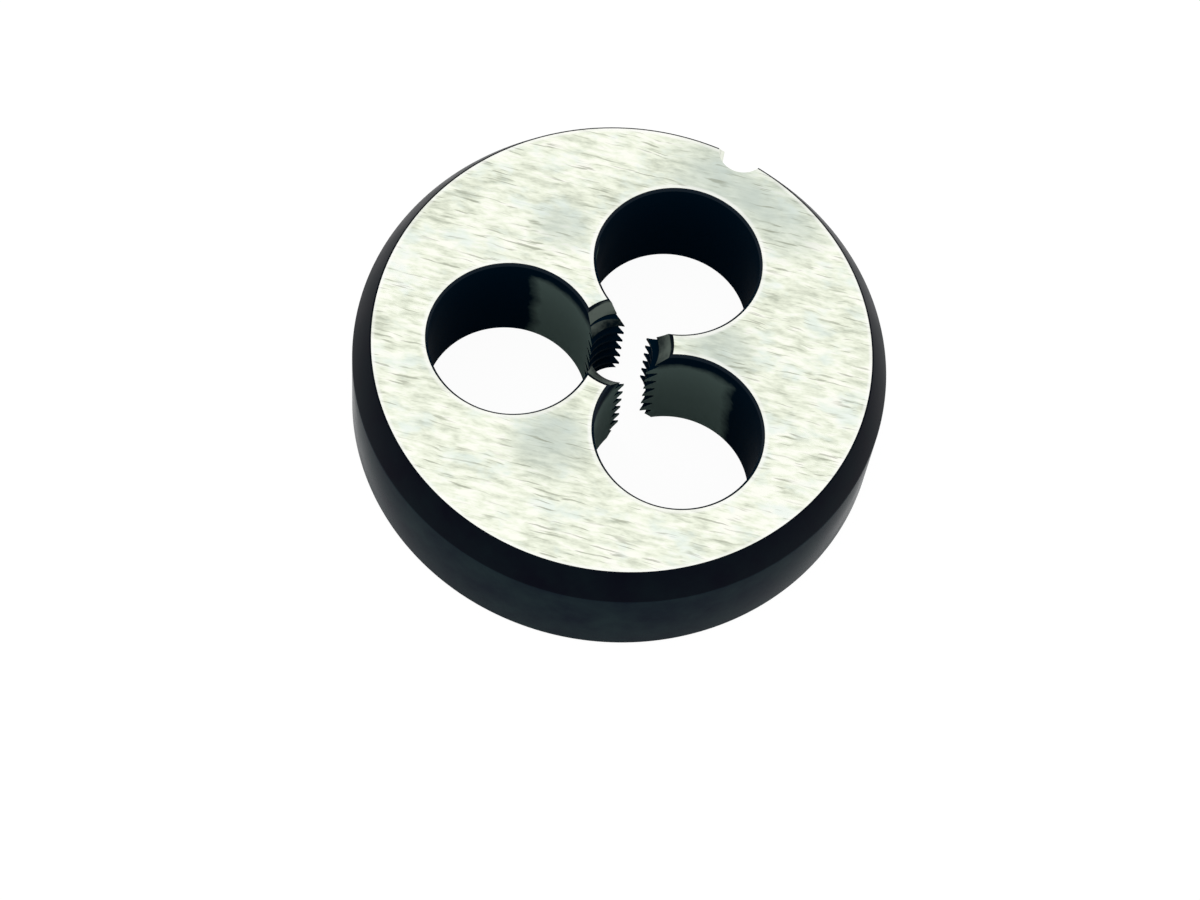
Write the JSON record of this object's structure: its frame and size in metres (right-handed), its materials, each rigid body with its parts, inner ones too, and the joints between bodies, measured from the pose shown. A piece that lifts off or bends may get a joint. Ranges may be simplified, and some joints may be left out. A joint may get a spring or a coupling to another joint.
{
  "type": "round threading die",
  "caption": "Round threading die: a hardened steel disc whose threaded bore is opened by chip holes into lands of teeth that cut an outside thread on a rod.",
  "frame": {"origin": "centre of the flat back face, on the axis of the die", "axes": "+Z along the axis, out of the front face where the rod enters; the first chip hole lies at 60 degrees from +X towards +Y, and the rim notch outside it at 61.9 degrees"},
  "size_m": [0.02, 0.02, 0.005],
  "materials": {
    "die_steel": "ground bright faces, glossy black oxide on the rim, chamfer, holes and thread"
  },
  "bodies": {
    "root": {"die": "die_steel"}
  },
  "joints": []
}
